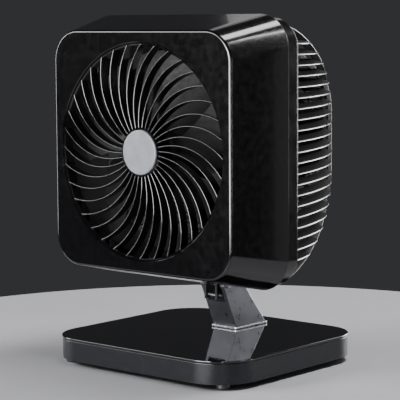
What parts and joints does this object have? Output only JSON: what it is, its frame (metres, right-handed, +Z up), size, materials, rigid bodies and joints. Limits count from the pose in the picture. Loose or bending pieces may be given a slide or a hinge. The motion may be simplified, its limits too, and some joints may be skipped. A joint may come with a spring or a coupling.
{
  "type": "square table fan",
  "caption": "Table fan with a square tapered housing, swept-vane front grille, finned rear cage, tilting head, leaning arm and weighted square base.",
  "frame": {"origin": "on the floor, under the middle of the object's box", "axes": "+Z up; the head faces -Y, so air leaves towards -Y; +X is to the right seen from the front"},
  "size_m": [0.388, 0.394, 0.5145],
  "materials": {
    "gloss_black": "high-gloss moulded black ABS, polished",
    "satin_black": "moulded black polypropylene with a fine satin texture",
    "arm_grey": "satin dark grey paint on cast aluminium",
    "dark_steel": "black electro-coated pressed steel",
    "bright_steel": "zinc-plated steel",
    "pale_cap": "pale grey satin plastic",
    "foot_rubber": "matt black moulded rubber",
    "black_nylon": "black nylon",
    "copper_winding": "lacquered copper winding and laminated core"
  },
  "bodies": {
    "stand": {"base_tray": "satin_black", "base_top_plate": "gloss_black", "base_bottom_plate": "satin_black", "ballast_plate": "dark_steel", "foot_1": "foot_rubber", "foot_2": "foot_rubber", "foot_3": "foot_rubber", "foot_4": "foot_rubber", "arm_foot_plate": "bright_steel", "arm_column": "arm_grey", "arm_screw_1": "bright_steel", "arm_screw_2": "bright_steel", "arm_screw_3": "bright_steel", "arm_screw_4": "bright_steel", "pivot_bolt": "bright_steel", "pivot_nut": "bright_steel", "friction_washer_1": "black_nylon", "friction_washer_2": "black_nylon"},
    "head": {"tilt_bracket": "dark_steel", "stop_pin": "bright_steel", "bracket_screw_1": "bright_steel", "bracket_screw_2": "bright_steel", "bracket_screw_3": "bright_steel", "bracket_screw_4": "bright_steel", "front_shell": "gloss_black", "air_duct": "satin_black", "rear_bezel": "satin_black", "housing_screw_1": "bright_steel", "housing_screw_2": "bright_steel", "housing_screw_3": "bright_steel", "housing_screw_4": "bright_steel", "front_grille": "gloss_black", "centre_cap": "pale_cap", "rear_grille": "satin_black", "motor_mount": "dark_steel", "mount_screw_1": "bright_steel", "mount_screw_2": "bright_steel", "mount_screw_3": "bright_steel", "mount_screw_4": "bright_steel", "motor_screw_1": "bright_steel", "motor_screw_2": "bright_steel", "motor_screw_3": "bright_steel", "motor_front_bell": "dark_steel", "motor_rear_bell": "dark_steel", "stator_core": "copper_winding", "front_bearing": "bright_steel", "rear_bearing": "bright_steel", "run_capacitor": "dark_steel", "speed_switch": "satin_black", "cord_gland": "satin_black"},
    "rotor": {"impeller": "satin_black", "impeller_nut": "bright_steel", "motor_shaft": "bright_steel", "rotor_core": "dark_steel"},
    "knob": {"speed_knob": "gloss_black", "switch_spindle": "bright_steel"}
  },
  "joints": [
    {"name": "head_tilt", "type": "hinge", "parent": "stand", "child": "head", "pos_m": [0, -0.008, 0.112], "axis": [1, 0, 0], "range_deg": [-25, 10]},
    {"name": "impeller_spin", "type": "hinge", "parent": "head", "child": "rotor", "pos_m": [0, -0.114, 0.3205], "axis": [0, 1, 0], "continuous": true},
    {"name": "knob_turn", "type": "hinge", "parent": "head", "child": "knob", "pos_m": [0, 0.19, 0.3365], "axis": [0, -1, 0], "range_deg": [0, 120]}
  ]
}
